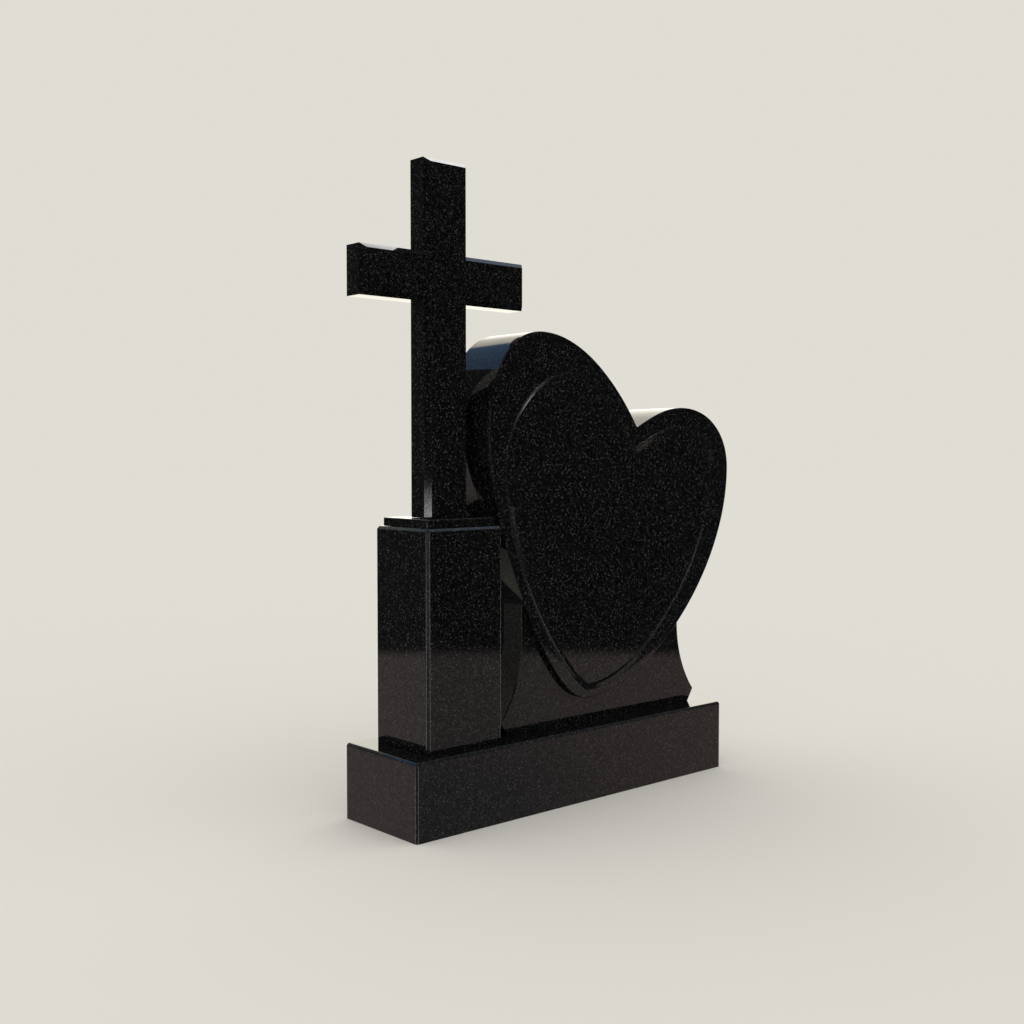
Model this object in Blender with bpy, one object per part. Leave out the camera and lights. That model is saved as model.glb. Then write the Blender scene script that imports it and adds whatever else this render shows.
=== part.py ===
"""Granite memorial: a cross on a square pillar beside a heart-shaped headstone, both set on one long base.

Metres, +Z up. The origin is the middle of the base's underside, the front faces -Y and +X runs to the right
along the front. Every stone is sawn and carved from one block, polished all over, and bedded on the stone under
it with a hairline joint.
"""
import math

import bmesh
import bpy
from mathutils import Matrix, Vector

# Hairline joint between a stone and the one it stands on
BED_JOINT = 0.0003

# Base: one long block
BASE_LENGTH = 0.872
BASE_DEPTH = 0.230
BASE_HEIGHT = 0.150
BASE_ARRIS = 0.0045

# Pillar at the base's left end, centred on its depth
PILLAR_MARGIN = 0.0515
PILLAR_WIDTH = 0.186
PILLAR_DEPTH = 0.166
PILLAR_HEIGHT = 0.4245
PILLAR_ARRIS = 0.0055

# Cap plate: a thin slab that steps in from the pillar's faces
CAP_WIDTH = 0.167
CAP_DEPTH = 0.139
CAP_HEIGHT = 0.0165
CAP_ARRIS = 0.0015

# Cross: one slab with a wide bevel along its front edges
CROSS_OFFSET = 0.0045
CROSS_THICKNESS = 0.0525
CROSS_HEIGHT = 0.686
CROSS_BEVEL_WIDTH = 0.0093
CROSS_BEVEL_DEPTH = 0.0125
SHAFT_WIDTH = 0.104
ARM_SPAN = 0.3995
ARM_HEIGHT = 0.0942
ARM_DROP = 0.178

# Headstone: a leaning heart, proud of the flared foot that it grows out of
STONE_SETBACK = 0.0455
STONE_THICKNESS = 0.135
STONE_ARRIS = 0.0015
HEART_MARGIN = 0.2145
HEART_RISE = 0.0523
HEART_WIDTH = 0.7335
HEART_HEIGHT = 0.759
HEART_PROUD = 0.012
NOTCH_RADIUS = 0.0055

# Border groove: a shallow V along a smaller heart
GROOVE_WIDTH = 0.014
GROOVE_DEPTH = 0.003

# Foot: concave sides that sweep out to a tip and are undercut below it
FOOT_CENTRE_SHARE = 0.455
FOOT_WAIST = 0.477
FOOT_WAIST_RISE = 0.185
FOOT_FLARE = 0.056
FOOT_TIP_RISE = 0.027
FOOT_UNDERCUT = 0.0185
FOOT_BURIED = 0.020

# Fineness of the curves
KNOT_STEPS = 24
ARC_STEPS = 6
SWEEP_STEPS = 12
HEART_POINTS = 132

# The heart as drawn, in shares of its width and height from its lower left corner. It runs from the notch
# anticlockwise. Each knot holds its place and the arms to its two handles, the one before it and the one after.
HEART_KNOT_SHARES = (
    ((0.577, 0.752), (0.061, 0.029), (-0.053, 0.083)),
    ((0.197, 1.000), (0.178, 0.000), (-0.131, 0.000)),
    ((0.000, 0.729), (0.000, 0.147), (0.000, -0.119)),
    ((0.091, 0.358), (-0.043, 0.096), (0.054, -0.121)),
    ((0.368, 0.000), (-0.109, 0.000), (0.287, 0.000)),
    ((1.000, 0.634), (0.000, -0.302), (0.000, 0.107)),
    ((0.782, 0.813), (0.128, 0.000), (-0.078, 0.000)),
)

# The border groove's line, in the same shares of the heart
BORDER_KNOT_SHARES = (
    ((0.560, 0.680), (0.052, 0.024), (-0.046, 0.073)),
    ((0.310, 0.887), (0.116, 0.000), (-0.139, 0.000)),
    ((0.068, 0.633), (0.000, 0.120), (0.000, -0.289)),
    ((0.376, 0.030), (-0.052, 0.000), (0.248, 0.000)),
    ((0.925, 0.631), (0.000, -0.267), (0.000, 0.070)),
    ((0.764, 0.750), (0.094, 0.000), (-0.066, 0.000)),
)

# Places worked out from the sizes
BASE_LEFT = -BASE_LENGTH / 2
PILLAR_X = BASE_LEFT + PILLAR_MARGIN + PILLAR_WIDTH / 2
PILLAR_FOOT = BASE_HEIGHT + BED_JOINT
CAP_FOOT = PILLAR_FOOT + PILLAR_HEIGHT + BED_JOINT
CROSS_X = PILLAR_X + CROSS_OFFSET
CROSS_FOOT = CAP_FOOT + CAP_HEIGHT + BED_JOINT
STONE_FOOT = BASE_HEIGHT + BED_JOINT
STONE_FRONT = -BASE_DEPTH / 2 + STONE_SETBACK
STONE_BACK = STONE_FRONT + STONE_THICKNESS
HEART_LEFT = BASE_LEFT + HEART_MARGIN
HEART_BOTTOM = STONE_FOOT + HEART_RISE


def clear_scene():
    """Start from an empty scene."""
    for old in list(bpy.data.objects):
        bpy.data.objects.remove(old, do_unlink=True)


def black_granite(name):
    """Polished black granite with a fine light grain."""
    stone = bpy.data.materials.new(name)
    stone.use_nodes = True
    shader = stone.node_tree.nodes["Principled BSDF"]
    shader.inputs["Base Color"].default_value = (0.012, 0.012, 0.014, 1.0)
    shader.inputs["Roughness"].default_value = 0.08
    shader.inputs["Metallic"].default_value = 0.0
    return stone


def add_object(name, bm):
    """Turn a bmesh into a named object in its own granite."""
    mesh = bpy.data.meshes.new(name)
    bm.to_mesh(mesh)
    bm.free()
    mesh.materials.append(black_granite(name))
    stone = bpy.data.objects.new(name, mesh)
    bpy.context.scene.collection.objects.link(stone)
    return stone


def add_block(name, size, foot_centre, arris):
    """Add a sawn block standing on foot_centre, with an arris on all its edges but the bed's."""
    bm = bmesh.new()
    centre = Vector(foot_centre) + Vector((0, 0, size[2] / 2))
    bmesh.ops.create_cube(bm, size=1, matrix=Matrix.Translation(centre) @ Matrix.Diagonal((*size, 1)))
    above_bed = [edge for edge in bm.edges if max(v.co.z for v in edge.verts) > centre.z]
    bmesh.ops.bevel(bm, geom=above_bed, offset=arris, segments=1, affect="EDGES")
    return add_object(name, bm)


def add_slab(name, sections):
    """Skin a stack of outlines, each a (depth y, points) pair, from the middle of the front face to the back.

    All outlines have as many points, anticlockwise as seen from the front.
    """
    bm = bmesh.new()
    rings = [[bm.verts.new((x, y, z)) for x, z in outline] for y, outline in sections]
    bm.faces.new(rings[0])
    bm.faces.new(reversed(rings[-1]))
    for ring, beyond in zip(rings, rings[1:]):
        for i in range(len(ring)):
            j = (i + 1) % len(ring)
            bm.faces.new((ring[i], beyond[i], beyond[j], ring[j]))
    return add_object(name, bm)


def inset(outline, distance):
    """Move every side of a closed outline inwards by a distance, with mitred corners."""
    moved = []
    for before, here, after in zip(outline[-1:] + outline[:-1], outline, outline[1:] + outline[:1]):
        come = (here - before).normalized()
        go = (after - here).normalized()
        inward = Vector((-come.y - go.y, come.x + go.x)).normalized()
        moved.append(here + inward * distance / inward.dot(Vector((-come.y, come.x))))
    return moved


def bevelled_face(outline, bevel):
    """Outline of the face inside a bevel that stops square at the bed."""
    bed = min(point.y for point in outline)
    return [Vector((m.x, bed)) if p.y == bed else m for p, m in zip(outline, inset(outline, bevel))]


def bezier(start, start_handle, end_handle, end, steps):
    """Points along a cubic curve, without its end."""
    points = []
    for step in range(steps):
        t = step / steps
        s = 1 - t
        points.append(start * s**3 + start_handle * 3 * s * s * t + end_handle * 3 * s * t * t + end * t**3)
    return points


def drawn_line(knots):
    """Closed curve through knots given in shares of the heart, starting at the notch."""

    def share(pair):
        return Vector((pair[0] * HEART_WIDTH, pair[1] * HEART_HEIGHT))

    corner = Vector((HEART_LEFT, HEART_BOTTOM))
    points = []
    for (place, _, leave), (goal, arrive, _) in zip(knots, knots[1:] + knots[:1]):
        start = corner + share(place)
        end = corner + share(goal)
        points += bezier(start, start + share(leave), end + share(arrive), end, KNOT_STEPS)
    return points


def round_notch(points, radius):
    """Round the corner at the first point of a closed line, and start the line at the middle of that arc."""
    corner = points[0]
    left = (points[1] - corner).normalized()
    right = (points[-1] - corner).normalized()
    opening = (left + right).normalized()
    half_angle = left.angle(opening)
    tangent_length = radius / math.tan(half_angle)
    centre = corner + opening * radius / math.sin(half_angle)
    turn = math.pi / 2 - half_angle

    def arc(first, last):
        angles = [first + (last - first) * k / ARC_STEPS for k in range(ARC_STEPS + 1)]
        return [centre + Matrix.Rotation(angle, 2) @ (-opening * radius) for angle in angles]

    rest = [point for point in points[1:] if (point - corner).length > tangent_length]
    return arc(0, -turn) + rest + arc(turn, 0)[:-1]


def evenly_spaced(points, count):
    """Resample a closed line to a count of points at equal distances along it."""
    closed = points + points[:1]
    travelled = [0.0]
    for here, after in zip(closed, closed[1:]):
        travelled.append(travelled[-1] + (after - here).length)
    spaced = []
    k = 0
    for i in range(count):
        goal = travelled[-1] * i / count
        while travelled[k + 1] <= goal:
            k += 1
        part = (goal - travelled[k]) / (travelled[k + 1] - travelled[k])
        spaced.append(closed[k].lerp(closed[k + 1], part))
    return spaced


def heart_line(knots, notch_radius):
    """Outline of a heart with a rounded notch."""
    return evenly_spaced(round_notch(drawn_line(knots), notch_radius), HEART_POINTS)


def underside_of(outline, x):
    """Height of the lower side of an outline at x."""
    heights = []
    for here, after in zip(outline, outline[1:] + outline[:1]):
        if (here.x - x) * (after.x - x) <= 0 and here.x != after.x:
            heights.append(here.y + (after.y - here.y) * (x - here.x) / (after.x - here.x))
    return min(heights)


def foot_outline(heart):
    """Outline of the foot: bed, undercut tips, concave sweeps up to the waist, then straight up into the heart."""
    centre = HEART_LEFT + FOOT_CENTRE_SHARE * HEART_WIDTH
    waist = STONE_FOOT + FOOT_WAIST_RISE
    rise = FOOT_WAIST_RISE - FOOT_TIP_RISE
    radius = (rise**2 + FOOT_FLARE**2) / (2 * FOOT_FLARE)
    sweep = math.atan2(rise, radius - FOOT_FLARE)

    def side(sign):
        waist_x = centre + sign * FOOT_WAIST / 2
        bed_x = waist_x + sign * (FOOT_FLARE - FOOT_UNDERCUT)
        points = [Vector((bed_x, STONE_FOOT))]
        for step in range(SWEEP_STEPS + 1):
            angle = sweep * (1 - step / SWEEP_STEPS)
            out = radius * (1 - math.cos(angle))
            points.append(Vector((waist_x + sign * out, waist - radius * math.sin(angle))))
        top = max(waist, underside_of(heart, waist_x)) + FOOT_BURIED
        return points + [Vector((waist_x, top))]

    return side(1) + side(-1)[::-1]


def cross_outline():
    """Outline of the cross, from its foot's left corner."""
    half_shaft = SHAFT_WIDTH / 2
    half_span = ARM_SPAN / 2
    top = CROSS_FOOT + CROSS_HEIGHT
    arm_top = top - ARM_DROP
    arm_bottom = arm_top - ARM_HEIGHT
    right = [
        (half_shaft, CROSS_FOOT),
        (half_shaft, arm_bottom),
        (half_span, arm_bottom),
        (half_span, arm_top),
        (half_shaft, arm_top),
        (half_shaft, top),
    ]
    left = [(-x, z) for x, z in reversed(right)]
    return [Vector((CROSS_X + x, z)) for x, z in right + left]


def add_base():
    """Long base block, its underside on the ground."""
    add_block("base", (BASE_LENGTH, BASE_DEPTH, BASE_HEIGHT), (0, 0, 0), BASE_ARRIS)


def add_pillar():
    """Square pillar bedded on the base."""
    size = (PILLAR_WIDTH, PILLAR_DEPTH, PILLAR_HEIGHT)
    add_block("pillar", size, (PILLAR_X, 0, PILLAR_FOOT), PILLAR_ARRIS)


def add_cap_plate():
    """Thin plate bedded on the pillar, stepped in from its faces."""
    add_block("cap_plate", (CAP_WIDTH, CAP_DEPTH, CAP_HEIGHT), (PILLAR_X, 0, CAP_FOOT), CAP_ARRIS)


def add_cross():
    """Cross bedded on the cap plate. Its front edges are bevelled and its back edges are square."""
    outline = cross_outline()
    face = bevelled_face(outline, CROSS_BEVEL_WIDTH)
    front = -CROSS_THICKNESS / 2
    add_slab("cross", [(front, face), (front + CROSS_BEVEL_DEPTH, outline), (CROSS_THICKNESS / 2, outline)])


def add_heart_headstone():
    """Heart with its border groove, united with the foot set back from its face."""
    heart = heart_line(HEART_KNOT_SHARES, NOTCH_RADIUS)
    border = heart_line(BORDER_KNOT_SHARES, NOTCH_RADIUS + GROOVE_WIDTH / 2)
    headstone = add_slab("heart_headstone", [
        (STONE_FRONT, inset(border, GROOVE_WIDTH / 2)),
        (STONE_FRONT + GROOVE_DEPTH, border),
        (STONE_FRONT, inset(border, -GROOVE_WIDTH / 2)),
        (STONE_FRONT, inset(heart, STONE_ARRIS)),
        (STONE_FRONT + STONE_ARRIS, heart),
        (STONE_BACK, heart),
    ])
    outline = foot_outline(heart)
    face = bevelled_face(outline, STONE_ARRIS)
    front = STONE_FRONT + HEART_PROUD
    foot = add_slab("foot_to_unite", [(front, face), (front + STONE_ARRIS, outline), (STONE_BACK, outline)])
    foot.hide_render = True
    foot.display_type = "WIRE"
    unite = headstone.modifiers.new("unite_foot", "BOOLEAN")
    unite.operation = "UNION"
    unite.solver = "EXACT"
    unite.object = foot


clear_scene()
add_base()
add_pillar()
add_cap_plate()
add_cross()
add_heart_headstone()
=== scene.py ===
"""Granite memorial: a cross on a square pillar beside a heart-shaped headstone, both set on one long base."""

import bmesh
import bpy
import numpy as np
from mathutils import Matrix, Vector


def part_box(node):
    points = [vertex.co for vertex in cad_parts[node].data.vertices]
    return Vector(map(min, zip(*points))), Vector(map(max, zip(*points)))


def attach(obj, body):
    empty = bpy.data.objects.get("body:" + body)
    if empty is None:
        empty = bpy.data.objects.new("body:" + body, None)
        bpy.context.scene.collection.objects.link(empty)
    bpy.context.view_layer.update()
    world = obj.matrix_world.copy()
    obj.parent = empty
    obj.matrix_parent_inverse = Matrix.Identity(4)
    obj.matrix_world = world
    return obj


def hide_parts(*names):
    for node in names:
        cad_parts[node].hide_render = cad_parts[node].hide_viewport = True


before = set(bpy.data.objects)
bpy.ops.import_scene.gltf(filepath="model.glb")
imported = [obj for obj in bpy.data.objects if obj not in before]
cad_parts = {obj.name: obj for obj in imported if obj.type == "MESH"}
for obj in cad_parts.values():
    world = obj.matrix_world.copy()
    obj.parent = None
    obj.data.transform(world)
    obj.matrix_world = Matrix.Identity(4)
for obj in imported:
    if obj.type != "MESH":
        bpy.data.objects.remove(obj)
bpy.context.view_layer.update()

# View: the camera stands 2.6 m in front of the memorial's left corner at chest height, level to within three
# degrees, with a normal lens. Places are metres in the memorial's own frame.
CAMERA_PLACE = (-1.7887, -1.8951, 0.7073)
CAMERA_YAW = np.radians(41.69)
CAMERA_PITCH = np.radians(-2.51)
CAMERA_FIELD = np.radians(45.0)

camera_data = bpy.data.cameras.new("camera")
camera_data.sensor_width = 36.0
camera_data.angle = CAMERA_FIELD
camera = bpy.data.objects.new("camera", camera_data)
looking = Vector((
    np.sin(CAMERA_YAW) * np.cos(CAMERA_PITCH),
    np.cos(CAMERA_YAW) * np.cos(CAMERA_PITCH),
    np.sin(CAMERA_PITCH),
))
camera.location = CAMERA_PLACE
camera.rotation_euler = looking.to_track_quat("-Z", "Y").to_euler()
bpy.context.scene.collection.objects.link(camera)
bpy.context.scene.camera = camera
bpy.context.scene.view_settings.view_transform = "Standard"


# Studio: a pale matt floor and backdrop in an even white light. What the polish mirrors is set apart from it: a
# lit cream wall behind the memorial, cool light above, a soft box high on the right, low upright strip lights at
# the left, in front and at the right, a dim floor and an unlit room between them.
def linear(hex_colour):
    """Linear light of an sRGB hex colour: each channel c is (c + 0.055) / 1.055 to the power 2.4."""
    channels = np.array([int(hex_colour[i:i + 2], 16) for i in (1, 3, 5)]) / 255
    values = np.where(channels <= 0.04045, channels / 12.92, ((channels + 0.055) / 1.055) ** 2.4)
    return (*values.tolist(), 1.0)


def add_node(tree, kind, settings=None, inputs=None):
    """Add a node with its settings. Each input takes a value, or the output socket that feeds it."""
    node = tree.nodes.new(kind)
    for name, value in (settings or {}).items():
        setattr(node, name, value)
    for name, value in (inputs or {}).items():
        if isinstance(value, bpy.types.NodeSocket):
            tree.links.new(value, node.inputs[name])
        else:
            node.inputs[name].default_value = value
    return node


def layered(tree, under, *layers):
    """Socket of colours laid over one another. A layer is its share of the whole, from 0 to 1, and its colour.

    The mix node takes colours at its inputs 6 and 7, and gives one at its output 2.
    """
    for share, colour in layers:
        mix = add_node(tree, "ShaderNodeMix", {"data_type": "RGBA"}, {0: share, 6: under, 7: colour})
        under = mix.outputs[2]
    return under


FLOOR_RADIUS = 40.0
FLOOR_POINTS = 96
FLOOR_COLOUR = "#e0ded7"
FLOOR_ROUGHNESS = 0.9
BACKDROP_COLOUR = "#e0ddd4"
AMBIENT_COLOUR = "#fffefc"

turn = np.linspace(0, 2 * np.pi, FLOOR_POINTS, endpoint=False)
rim = np.stack([FLOOR_RADIUS * np.cos(turn), FLOOR_RADIUS * np.sin(turn), np.zeros(turn.size)], axis=1)
floor_mesh = bpy.data.meshes.new("floor")
floor_mesh.from_pydata(rim.tolist(), [], [list(range(turn.size))])
floor = bpy.data.objects.new("floor", floor_mesh)
floor_paint = bpy.data.materials.new("matt_pale_floor")
floor_paint.use_nodes = True
floor_shader = floor_paint.node_tree.nodes["Principled BSDF"]
floor_shader.inputs["Base Color"].default_value = linear(FLOOR_COLOUR)
floor_shader.inputs["Roughness"].default_value = FLOOR_ROUGHNESS
floor_shader.inputs["Specular IOR Level"].default_value = 0.0
floor_mesh.materials.append(floor_paint)
floor.visible_glossy = False
bpy.context.scene.collection.objects.link(floor)

world = bpy.data.worlds.new("studio")
bpy.context.scene.world = world
world.use_nodes = True
studio = world.node_tree
studio.nodes.clear()
direction = add_node(studio, "ShaderNodeTexCoord").outputs["Generated"]
height = add_node(studio, "ShaderNodeSeparateXYZ", inputs={"Vector": direction}).outputs["Z"]


def toward(azimuth, elevation):
    """Unit vector at an azimuth, clockwise from +Y as seen from above, and an elevation, both in degrees."""
    azimuth = np.radians(azimuth)
    elevation = np.radians(elevation)
    level = np.cos(elevation)
    return (float(np.sin(azimuth) * level), float(np.cos(azimuth) * level), float(np.sin(elevation)))


def within(value, outside, inside):
    """Share that rises smoothly from 0 to 1 as a value goes from outside to inside."""
    return add_node(
        studio, "ShaderNodeMapRange", {"interpolation_type": "SMOOTHSTEP"},
        {"Value": value, "From Min": float(outside), "From Max": float(inside)},
    ).outputs["Result"]


def around_axis(vector, axis, half_width, edge):
    """Share of the directions around an axis: 1 within a half width of it, 0 past its edge, both in degrees."""
    cosine = add_node(
        studio, "ShaderNodeVectorMath", {"operation": "DOT_PRODUCT"}, {0: vector, 1: axis},
    ).outputs["Value"]
    return within(cosine, np.cos(np.radians(half_width + edge)), np.cos(np.radians(half_width)))


def patch(azimuth, elevation, radius, edge):
    """Share of a round patch of the surroundings, all in degrees."""
    return around_axis(direction, toward(azimuth, elevation), radius, edge)


def strip(azimuth, half_width, edge):
    """Share of an upright strip of the surroundings, from floor to ceiling, all in degrees."""
    level = add_node(
        studio, "ShaderNodeVectorMath", {"operation": "MULTIPLY"}, {0: direction, 1: (1.0, 1.0, 0.0)},
    ).outputs["Vector"]
    level = add_node(studio, "ShaderNodeVectorMath", {"operation": "NORMALIZE"}, {0: level}).outputs["Vector"]
    return around_axis(level, toward(azimuth, 0), half_width, edge)


def above(elevation, edge):
    """Share of the surroundings above an elevation, 0 below its edge, both in degrees."""
    return within(height, np.sin(np.radians(elevation - edge)), np.sin(np.radians(elevation)))


def light(red, green, blue):
    """Colour of a light, as its linear radiance."""
    return (red, green, blue, 1.0)


def grey(radiance):
    """Light of the same radiance in all three channels."""
    return light(radiance, radiance, radiance)


UNLIT_ROOM = grey(0.012)
ROOM_AT_LEFT = light(0.035, 0.036, 0.034)
ROOM_BEHIND_CAMERA = grey(0.30)
UNLIT_FLOOR = grey(0.03)
FLOOR_CLOSE = light(0.18, 0.165, 0.17)
FLOOR_BEYOND = light(0.27, 0.235, 0.225)
FLOOR_AT_RIGHT = light(0.36, 0.29, 0.265)
FLOOR_AT_LEFT = light(0.38, 0.315, 0.31)
STRIP_LIGHT = grey(4.0)
SIDE_STRIP = grey(6.0)
SIDE_STRIP_TOP = grey(1.0)
CREAM_WALL = light(1.58, 1.50, 1.30)
CREAM_WALL_LIT = light(2.0, 1.93, 1.68)
WALL_SHADE = light(0.34, 0.37, 0.34)
WARM_GLOW = light(0.36, 0.29, 0.265)
CEILING = light(0.12, 0.13, 0.14)
COOL_LIGHT = light(0.34, 0.43, 0.55)
BLUE_LIGHT = light(0.155, 0.275, 0.45)
SOFT_BOX = grey(3.1)

# The unlit room, a little lighter at the left and pale behind the camera.
room = layered(
    studio, UNLIT_ROOM,
    (patch(azimuth=-41, elevation=0, radius=30, edge=20), ROOM_AT_LEFT),
    (patch(azimuth=-133, elevation=0, radius=8, edge=10), ROOM_BEHIND_CAMERA),
)
# The floor: unlit close to the memorial, then dim, and lighter towards both sides.
ground = layered(
    studio, FLOOR_CLOSE,
    (above(elevation=-11.5, edge=4), FLOOR_BEYOND),
    (patch(azimuth=118, elevation=-10, radius=8, edge=14), FLOOR_AT_RIGHT),
    (patch(azimuth=-41, elevation=-12, radius=25, edge=25), FLOOR_AT_LEFT),
)
ground = layered(studio, UNLIT_FLOOR, (above(elevation=-16.8, edge=4), ground))
# The strip lights, which draw the thin bright lines on the upright arrises and in the border groove.
low = layered(
    studio, ground,
    (above(elevation=-8.8, edge=0.4), room),
    (strip(azimuth=-106, half_width=9, edge=5), STRIP_LIGHT),
    (strip(azimuth=-158, half_width=9, edge=4), STRIP_LIGHT),
)
low = layered(studio, ground, (above(elevation=-24, edge=3), low))
low_side = layered(
    studio, low,
    (strip(azimuth=117, half_width=6, edge=3), SIDE_STRIP),
    (above(elevation=-5, edge=1.5), low),
)
low = layered(studio, low, (above(elevation=-11, edge=2.5), low_side))
level = layered(
    studio, room,
    (strip(azimuth=117, half_width=6, edge=3), SIDE_STRIP_TOP),
    (above(elevation=5, edge=2), room),
)
# The ceiling, blue behind the memorial and paler at its right.
ceiling = layered(
    studio, CEILING,
    (patch(azimuth=75, elevation=52, radius=12, edge=10), COOL_LIGHT),
    (patch(azimuth=4, elevation=50, radius=25, edge=3), BLUE_LIGHT),
)
surround = layered(
    studio, low,
    (above(elevation=-1, edge=2), level),
    (patch(azimuth=-2, elevation=34, radius=9, edge=6), WALL_SHADE),
    (patch(azimuth=146, elevation=23.5, radius=7, edge=2.5), WARM_GLOW),
    (above(elevation=37.8, edge=1.0), ceiling),
    (patch(azimuth=-22, elevation=42, radius=7.8, edge=1.2), BLUE_LIGHT),
    (patch(azimuth=22, elevation=0, radius=37.5, edge=3), CREAM_WALL),
    (patch(azimuth=40, elevation=8, radius=10, edge=15), CREAM_WALL_LIT),
    (patch(azimuth=53.5, elevation=43.5, radius=3.1, edge=1.2), SOFT_BOX),
)
rays = add_node(studio, "ShaderNodeLightPath").outputs
shown = layered(
    studio, linear(AMBIENT_COLOUR),
    (rays["Is Glossy Ray"], surround),
    (rays["Is Camera Ray"], linear(BACKDROP_COLOUR)),
)
glow = add_node(studio, "ShaderNodeBackground", inputs={"Color": shown})
add_node(studio, "ShaderNodeOutputWorld", inputs={"Surface": glow.outputs["Background"]})


# Base: one block of black granite, a gabbro of near-black pyroxene with laths of grey feldspar 2 to 4 mm long.
# It is sawn, polished on all its faces, and its edges are taken off at 45 degrees in a narrow arris.
BASE_ARRIS = 0.0045
BASE_RUBBED = 0.0007
BASE_GRAIN = (0.0, 0.0, 0.0)

# The granite of all five stones. A lath is a cell 3.1 mm wide with rippled borders, and a speck of pepper one of
# 2 mm. A third of the laths and nine in ten of the specks stay as black as the ground.
GRANITE_BLACK = "#050505"
FELDSPAR_GREY = "#161617"
FELDSPAR_LIGHT = "#3e3f3f"
LATH = 0.0031
LATH_RIPPLE = 0.4 * LATH
BLACK_LATHS = 0.35
PEPPER = 0.0020
BLACK_PEPPER = 0.90
GRANITE_IOR = 1.55
POLISHED_ROUGHNESS = 0.04
RUBBED_ROUGHNESS = 0.2
DULL_LATHS = 0.4
DULL_MIRROR = 0.44
BRIGHT_MIRROR = 0.74


def cells(tree, place, size):
    """Random red and green values for each cell of a size, drawn in the solid."""
    colour = add_node(tree, "ShaderNodeTexVoronoi", inputs={"Vector": place, "Scale": 1 / size}).outputs["Color"]
    return add_node(tree, "ShaderNodeSeparateColor", inputs={"Color": colour}).outputs


def rising(tree, value, share, low=0.0, high=1.0):
    """Socket that is low while a value is under a share, and rises from there to high at 1."""
    return add_node(
        tree, "ShaderNodeMapRange",
        inputs={"Value": value, "From Min": share, "From Max": 1.0, "To Min": low, "To Max": high},
    ).outputs["Result"]


def granite(name, grain):
    """Polished black granite: a near-black ground with scattered cells of grey feldspar, drawn in the solid.

    Some laths also mirror more than others. The grain is a place in the rock, so that no two stones are alike.
    """
    stone = bpy.data.materials.new(name)
    stone.use_nodes = True
    tree = stone.node_tree
    shader = tree.nodes["Principled BSDF"]
    place = add_node(tree, "ShaderNodeTexCoord").outputs["Object"]
    place = add_node(tree, "ShaderNodeMapping", inputs={"Vector": place, "Location": grain}).outputs["Vector"]
    ripple = add_node(
        tree, "ShaderNodeTexNoise", inputs={"Vector": place, "Scale": 1 / LATH, "Detail": 2.0},
    ).outputs["Color"]
    ripple = add_node(
        tree, "ShaderNodeVectorMath", {"operation": "SCALE"}, {0: ripple, "Scale": LATH_RIPPLE},
    ).outputs["Vector"]
    place = add_node(tree, "ShaderNodeVectorMath", {"operation": "ADD"}, {0: place, 1: ripple}).outputs["Vector"]
    laths = cells(tree, place, LATH)
    pepper = cells(tree, place, PEPPER)
    colour = layered(
        tree, linear(GRANITE_BLACK),
        (rising(tree, laths["Red"], BLACK_LATHS), linear(FELDSPAR_GREY)),
        (rising(tree, pepper["Red"], BLACK_PEPPER), linear(FELDSPAR_LIGHT)),
    )
    mirror = rising(tree, laths["Green"], DULL_LATHS, DULL_MIRROR, BRIGHT_MIRROR)
    tree.links.new(colour, shader.inputs["Base Color"])
    tree.links.new(mirror, shader.inputs["Specular IOR Level"])
    shader.inputs["Roughness"].default_value = POLISHED_ROUGHNESS
    shader.inputs["IOR"].default_value = GRANITE_IOR
    return stone


def rubbed_granite(name, grain):
    """Edge of the same granite, rubbed by hand and not polished, so it scatters light and looks greyer."""
    stone = granite(name, grain)
    stone.node_tree.nodes["Principled BSDF"].inputs["Roughness"].default_value = RUBBED_ROUGHNESS
    return stone


def box_of(node):
    """Lowest and highest corner of a solid of the frame, as an array."""
    return np.array([list(corner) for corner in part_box(node)])


def skin(name, rings, rubbed=()):
    """Closed mesh through a stack of rings, an array of (ring, point, xyz), with a flat face over each end.

    Seen from the last ring, every ring runs anticlockwise. Ring r and point p are joined to the next ring and
    point, so the four corners of each face are (r, p), (r, p + 1), (r + 1, p + 1) and (r + 1, p). The bands that
    start at a ring named in rubbed take the second finish. Points in the same place become one.
    """
    count, size, _ = rings.shape
    ring, point = np.meshgrid(np.arange(count - 1), np.arange(size), indexing="ij")
    after = (point + 1) % size
    sides = np.stack([ring * size + point, ring * size + after,
                      (ring + 1) * size + after, (ring + 1) * size + point], axis=-1).reshape(-1, 4)
    first = list(range(size))[::-1]
    last = list(range((count - 1) * size, count * size))
    mesh = bpy.data.meshes.new(name)
    mesh.from_pydata(rings.reshape(-1, 3).tolist(), [], sides.tolist() + [first, last])
    finish = np.append(np.isin(ring.ravel(), rubbed), [False, False]).astype(np.int32)
    mesh.polygons.foreach_set("material_index", finish)
    joined = bmesh.new()
    joined.from_mesh(mesh)
    bmesh.ops.remove_doubles(joined, verts=joined.verts, dist=1e-6)
    joined.to_mesh(mesh)
    joined.free()
    piece = bpy.data.objects.new(name, mesh)
    bpy.context.scene.collection.objects.link(piece)
    return piece


def keep_faces_flat(piece):
    """Shade smoothly over the narrow bands only: the normals at their borders follow the large faces."""
    weighted = piece.modifiers.new("flat_faces", "WEIGHTED_NORMAL")
    weighted.weight = 100
    return weighted


def rub_edges(piece, width):
    """Rub down each edge to a fraction of a millimetre, and keep the flat faces shaded flat."""
    bevel = piece.modifiers.new("rubbed_edges", "BEVEL")
    bevel.width = width
    bevel.segments = 2
    bevel.limit_method = "ANGLE"
    bevel.angle_limit = np.radians(20)
    bevel.material = 1
    piece.data.shade_smooth()
    keep_faces_flat(piece)


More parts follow.
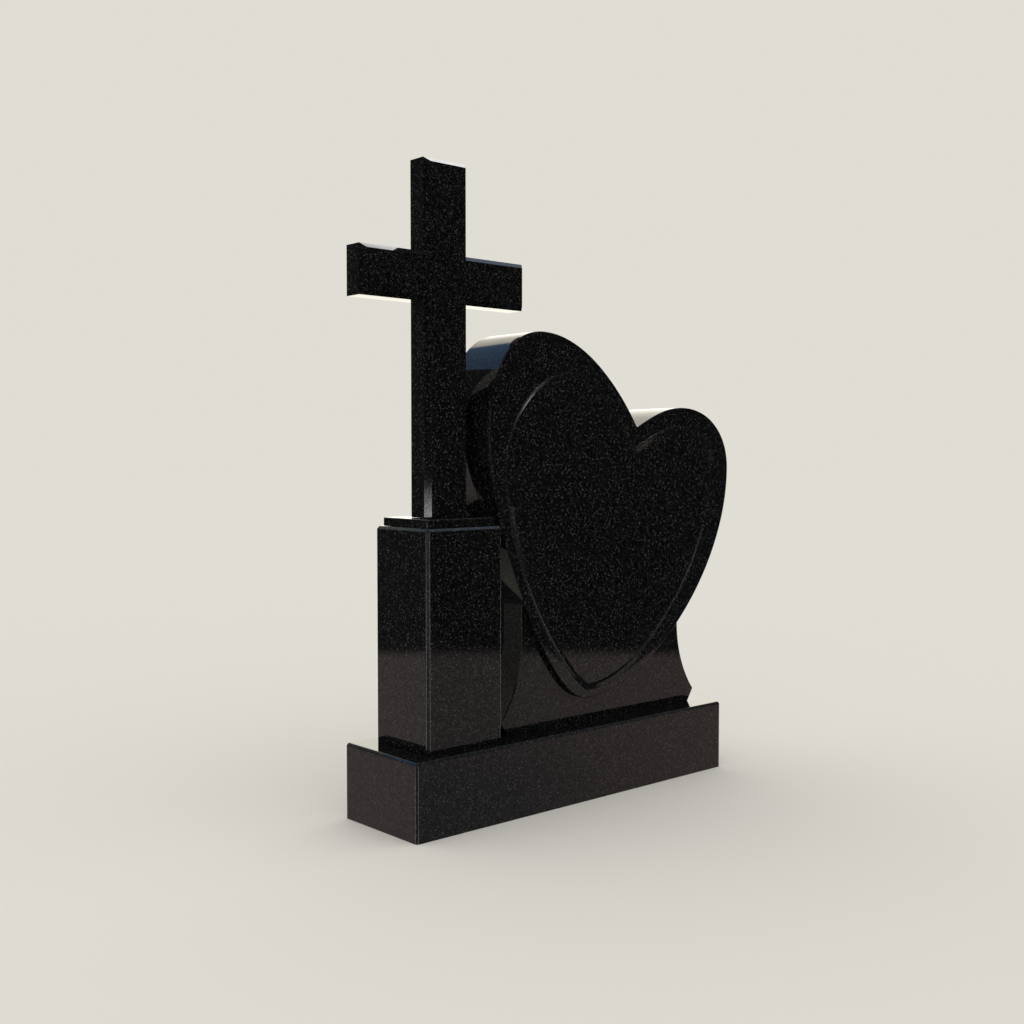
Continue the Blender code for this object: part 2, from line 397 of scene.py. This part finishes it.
def block_rings(box, arris):
    """Rings of a sawn block, from its bed to its top.

    The plan is a rectangle whose corners are cut by the arris. It rises from the bed to one arris below the top,
    and there moves in by the arris on every side, where the two points of each cut corner meet.
    """
    low, high = box
    middle = (low + high) / 2
    half = (high - low) / 2
    across = half[0] + arris * np.array([0, -1, -1, 0, 0, -1, -1, 0])
    across *= np.array([1, 1, -1, -1, -1, -1, 1, 1])
    deep = half[1] + arris * np.array([-1, 0, 0, -1, -1, 0, 0, -1])
    deep *= np.array([1, 1, 1, 1, -1, -1, -1, -1])
    inner_across = np.sign(across) * (half[0] - arris)
    inner_deep = np.sign(deep) * (half[1] - arris)
    plans = (
        (across, deep, low[2]),
        (across, deep, high[2] - arris),
        (inner_across, inner_deep, high[2]),
    )
    return np.array([
        np.stack([middle[0] + x, middle[1] + y, np.full(x.size, z)], axis=1) for x, y, z in plans
    ])


def set_in_place(piece, node, grain):
    """Give a stone its own polished granite and rubbed edges, and put it in the place of its solid."""
    piece.data.materials.append(granite(node + "_granite_polished", grain))
    piece.data.materials.append(rubbed_granite(node + "_granite_rubbed", grain))
    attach(piece, "root")
    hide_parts(node)


base = skin("base_block", block_rings(box_of("base"), BASE_ARRIS))
rub_edges(base, BASE_RUBBED)
set_in_place(base, "base", BASE_GRAIN)


# Pillar: a square shaft of the same granite, bedded on the left end of the base. Its four upright edges and its
# top edges are taken off in an arris as wide as a pencil.
PILLAR_ARRIS = 0.0055
PILLAR_RUBBED = 0.0008
PILLAR_GRAIN = (0.31, 0.17, 0.43)

pillar = skin("pillar_block", block_rings(box_of("pillar"), PILLAR_ARRIS))
rub_edges(pillar, PILLAR_RUBBED)
set_in_place(pillar, "pillar", PILLAR_GRAIN)


# Cap plate: a thin sawn plate of the same granite that carries the cross. It is bedded on the pillar about a
# centimetre in from its faces, and its edges have a fine arris.
CAP_ARRIS = 0.0015
CAP_RUBBED = 0.0005
CAP_GRAIN = (0.57, 0.29, 0.11)

cap_plate = skin("cap_plate_slab", block_rings(box_of("cap_plate"), CAP_ARRIS))
rub_edges(cap_plate, CAP_RUBBED)
set_in_place(cap_plate, "cap_plate", CAP_GRAIN)


# Cross: one slab of the same granite, cut to a Latin cross and set upright on the cap plate. A wide flat bevel
# runs round its front, mitred in the corners, and its back edges are square.
CROSS_BEVEL_WIDTH = 0.0093
CROSS_BEVEL_DEPTH = 0.0125
CROSS_RUBBED = 0.0003
CROSS_GRAIN = (0.83, 0.41, 0.71)
SHAFT_WIDTH = 0.104
ARM_HEIGHT = 0.0942
ARM_DROP = 0.178

(cross_left, cross_front, cross_foot), (cross_right, cross_back, cross_top) = box_of("cross")


def cross_plan(inset):
    """Outline of the cross from its foot's right corner, moved in by a distance on every side but the bed's."""
    middle = (cross_left + cross_right) / 2
    shaft = SHAFT_WIDTH / 2 - inset
    reach = (cross_right - cross_left) / 2 - inset
    top = cross_top - inset
    arm_top = cross_top - ARM_DROP - inset
    arm_bottom = cross_top - ARM_DROP - ARM_HEIGHT + inset
    across = np.array([shaft, shaft, reach, reach, shaft, shaft])
    heights = np.array([cross_foot, arm_bottom, arm_bottom, arm_top, arm_top, top])
    across = middle + np.concatenate([across, -across[::-1]])
    return np.stack([across, np.concatenate([heights, heights[::-1]])], axis=1)


def upright(outline, depth):
    """Ring of a slab that stands up: an outline of (x, z) at one depth y."""
    return np.stack([outline[:, 0], np.full(len(outline), depth), outline[:, 1]], axis=1)


cross = skin("cross_slab", np.array([
    upright(cross_plan(0.0), cross_back),
    upright(cross_plan(0.0), cross_front + CROSS_BEVEL_DEPTH),
    upright(cross_plan(CROSS_BEVEL_WIDTH), cross_front),
]))
rub_edges(cross, CROSS_RUBBED)
set_in_place(cross, "cross", CROSS_GRAIN)


# Headstone: one carved stone of the same granite, bedded on the base. A leaning heart stands 12 mm proud of the
# flared foot it grows out of. Its edges have a fine arris, and a shallow V groove is cut along a smaller heart.
STONE_ARRIS = 0.0015
STONE_RUBBED = 0.0004
STONE_GRAIN = (0.13, 0.53, 0.19)
HEART_LEFT = -0.2215
HEART_BOTTOM = 0.2026
HEART_WIDTH = 0.7332
HEART_HEIGHT = 0.759
HEART_PROUD = 0.012
NOTCH_RADIUS = 0.0055
GROOVE_WIDTH = 0.014
GROOVE_DEPTH = 0.003

FOOT_CENTRE_SHARE = 0.455
FOOT_WAIST = 0.477
FOOT_WAIST_RISE = 0.185
FOOT_FLARE = 0.056
FOOT_TIP_RISE = 0.027
FOOT_UNDERCUT = 0.0185
FOOT_BURIED = 0.020

# How finely the curves are drawn, and how far beside the waist the heart's lower side is looked for.
HEART_POINTS = 720
CURVE_POINTS = 400
CHORD_POINTS = 16
NOTCH_POINTS = 24
FOOT_POINTS = 49
WAIST_SEARCH = 0.004

# Both hearts as drawn, in shares of the outer one's width and height from its lower left corner, anticlockwise
# from the notch. Each knot holds its place and the arms to its two handles, the one before it and the one after.
HEART_KNOTS = (
    ((0.577, 0.752), (0.061, 0.029), (-0.053, 0.083)),
    ((0.197, 1.000), (0.178, 0.000), (-0.131, 0.000)),
    ((0.000, 0.729), (0.000, 0.147), (0.000, -0.119)),
    ((0.091, 0.358), (-0.043, 0.096), (0.054, -0.121)),
    ((0.368, 0.000), (-0.109, 0.000), (0.287, 0.000)),
    ((1.000, 0.634), (0.000, -0.302), (0.000, 0.107)),
    ((0.782, 0.813), (0.128, 0.000), (-0.078, 0.000)),
)
BORDER_KNOTS = (
    ((0.560, 0.680), (0.052, 0.024), (-0.046, 0.073)),
    ((0.310, 0.887), (0.116, 0.000), (-0.139, 0.000)),
    ((0.068, 0.633), (0.000, 0.120), (0.000, -0.289)),
    ((0.376, 0.030), (-0.052, 0.000), (0.248, 0.000)),
    ((0.925, 0.631), (0.000, -0.267), (0.000, 0.070)),
    ((0.764, 0.750), (0.094, 0.000), (-0.066, 0.000)),
)

(_, stone_front, stone_bed), (_, stone_back, _) = box_of("heart_headstone")


def heart_line(knots, notch_radius):
    """Closed line through the knots, its notch rounded to a radius, with points at equal distances.

    Between two knots it is the cubic curve s^3 A + 3 s^2 t B + 3 s t^2 C + t^3 D, with t from 0 to 1, s = 1 - t,
    A and D the knots, and B and C their handles. The notch's arc touches both curves' first chords.
    """
    knots = np.array(knots) * (HEART_WIDTH, HEART_HEIGHT)
    place = knots[:, 0] + (HEART_LEFT, HEART_BOTTOM)
    goal = np.roll(place, -1, axis=0)
    leave = place + knots[:, 2]
    arrive = goal + np.roll(knots[:, 1], -1, axis=0)
    t = np.linspace(0, 1, CURVE_POINTS, endpoint=False)[None, :, None]
    s = 1 - t
    line = (s**3 * place[:, None] + 3 * s**2 * t * leave[:, None]
            + 3 * s * t**2 * arrive[:, None] + t**3 * goal[:, None]).reshape(-1, 2)
    corner = line[0]
    left = line[CHORD_POINTS] - corner
    left /= np.linalg.norm(left)
    right = line[-CHORD_POINTS] - corner
    right /= np.linalg.norm(right)
    opening = (left + right) / np.linalg.norm(left + right)
    half_angle = np.arccos(left @ opening)
    centre = corner + opening * notch_radius / np.sin(half_angle)
    angles = np.linspace(0, np.pi / 2 - half_angle, NOTCH_POINTS)[:, None]
    sideways = np.array([opening[1], -opening[0]])
    sideways *= np.sign(sideways @ left)
    to_left = centre + notch_radius * (np.sin(angles) * sideways - np.cos(angles) * opening)
    from_right = centre + notch_radius * (-np.sin(angles) * sideways - np.cos(angles) * opening)
    rest = line[np.linalg.norm(line - corner, axis=1) > notch_radius / np.tan(half_angle)]
    line = np.concatenate([to_left, rest, from_right[::-1]])[:-1]
    closed = np.concatenate([line, line[:1]])
    travelled = np.append(0.0, np.cumsum(np.linalg.norm(np.diff(closed, axis=0), axis=1)))
    goals = np.linspace(0, travelled[-1], HEART_POINTS, endpoint=False)
    return np.stack([np.interp(goals, travelled, closed[:, i]) for i in (0, 1)], axis=1)


def moved_in(outline, distance):
    """Every side of a closed anticlockwise outline moved inwards by a distance, with mitred corners.

    A point moves along the sum of the unit normals of its two sides, over one plus their dot product.
    """
    go = np.roll(outline, -1, axis=0) - outline
    go /= np.linalg.norm(go, axis=1, keepdims=True)
    come = np.roll(go, 1, axis=0)
    go_normal = np.stack([-go[:, 1], go[:, 0]], axis=1)
    come_normal = np.stack([-come[:, 1], come[:, 0]], axis=1)
    spread = 1 + (go_normal * come_normal).sum(axis=1, keepdims=True)
    return outline + distance * (go_normal + come_normal) / spread


def foot_plan():
    """Outline of the foot: bed, undercut tips, concave arcs up to the waist, then straight up into the heart.

    The arc's radius is (rise^2 + flare^2) / (2 flare), so that it leaves the waist upright and ends at the tip.
    """
    centre = HEART_LEFT + FOOT_CENTRE_SHARE * HEART_WIDTH
    waist = stone_bed + FOOT_WAIST_RISE
    rise = FOOT_WAIST_RISE - FOOT_TIP_RISE
    radius = (rise**2 + FOOT_FLARE**2) / (2 * FOOT_FLARE)
    angles = np.linspace(np.arctan2(rise, radius - FOOT_FLARE), 0, FOOT_POINTS)
    flare = radius * (1 - np.cos(angles))
    out = FOOT_WAIST / 2 + np.concatenate([[FOOT_FLARE - FOOT_UNDERCUT], flare, [0.0]])
    heights = np.concatenate([[stone_bed], waist - radius * np.sin(angles)])
    sides = []
    for sign in (1, -1):
        beside = np.abs(heart[:, 0] - centre - sign * FOOT_WAIST / 2) < WAIST_SEARCH
        side_top = max(waist, heart[beside, 1].min()) + FOOT_BURIED
        sides.append(np.stack([centre + sign * out, np.append(heights, side_top)], axis=1))
    return np.concatenate([sides[0], sides[1][::-1]])


def heart_in(inset):
    """Outline of the heart, moved in by a distance."""
    return moved_in(heart, inset)


def foot_in(inset):
    """Outline of the foot, moved in by a distance on every side but the bed's."""
    outline = moved_in(foot_outline, inset)
    outline[foot_outline[:, 1] == stone_bed, 1] = stone_bed
    return outline


def arris_rings(outline_in, front):
    """Four rings of a 45 degree arris round a front face. Each of its two edges is rubbed to a narrow band."""
    band = 0.3 * STONE_RUBBED
    steps = (
        (0.0, STONE_ARRIS + STONE_RUBBED),
        (band, STONE_ARRIS - band),
        (STONE_ARRIS - band, band),
        (STONE_ARRIS + STONE_RUBBED, 0.0),
    )
    return [upright(outline_in(inset), front + depth) for inset, depth in steps]


def groove_rings():
    """Six rings of the V groove, from its outer edge over its bottom to its inner edge, all three rubbed."""
    half = GROOVE_WIDTH / 2
    steps = (
        (-half - STONE_RUBBED, 0.0),
        (-half + STONE_RUBBED, 0.6 * STONE_RUBBED),
        (-0.5 * STONE_RUBBED, GROOVE_DEPTH),
        (0.5 * STONE_RUBBED, GROOVE_DEPTH),
        (half - STONE_RUBBED, 0.6 * STONE_RUBBED),
        (half + STONE_RUBBED, 0.0),
    )
    return [upright(moved_in(border, inset), stone_front + depth) for inset, depth in steps]


heart = heart_line(HEART_KNOTS, NOTCH_RADIUS)
border = heart_line(BORDER_KNOTS, NOTCH_RADIUS + GROOVE_WIDTH / 2)
headstone = skin("heart_headstone_stone", np.array([
    upright(heart_in(STONE_RUBBED), stone_back),
    upright(heart, stone_back - STONE_RUBBED),
    *arris_rings(heart_in, stone_front),
    *groove_rings(),
]), rubbed=(0, 2, 4, 6, 8, 10))

foot_outline = foot_plan()
foot = skin("foot_to_unite", np.array([
    upright(foot_outline, stone_back),
    *arris_rings(foot_in, stone_front + HEART_PROUD),
]), rubbed=(1, 3))

unite = headstone.modifiers.new("unite_foot", "BOOLEAN")
unite.operation = "UNION"
unite.solver = "EXACT"
unite.object = foot
set_in_place(headstone, "heart_headstone", STONE_GRAIN)
headstone.data.shade_smooth()
bpy.context.view_layer.update()
evaluated = headstone.evaluated_get(bpy.context.evaluated_depsgraph_get())
united = bpy.data.meshes.new_from_object(evaluated)
headstone.modifiers.clear()
headstone.data = united
bpy.data.objects.remove(foot, do_unlink=True)
united.set_sharp_from_angle(angle=np.radians(32))
keep_faces_flat(headstone).keep_sharp = True
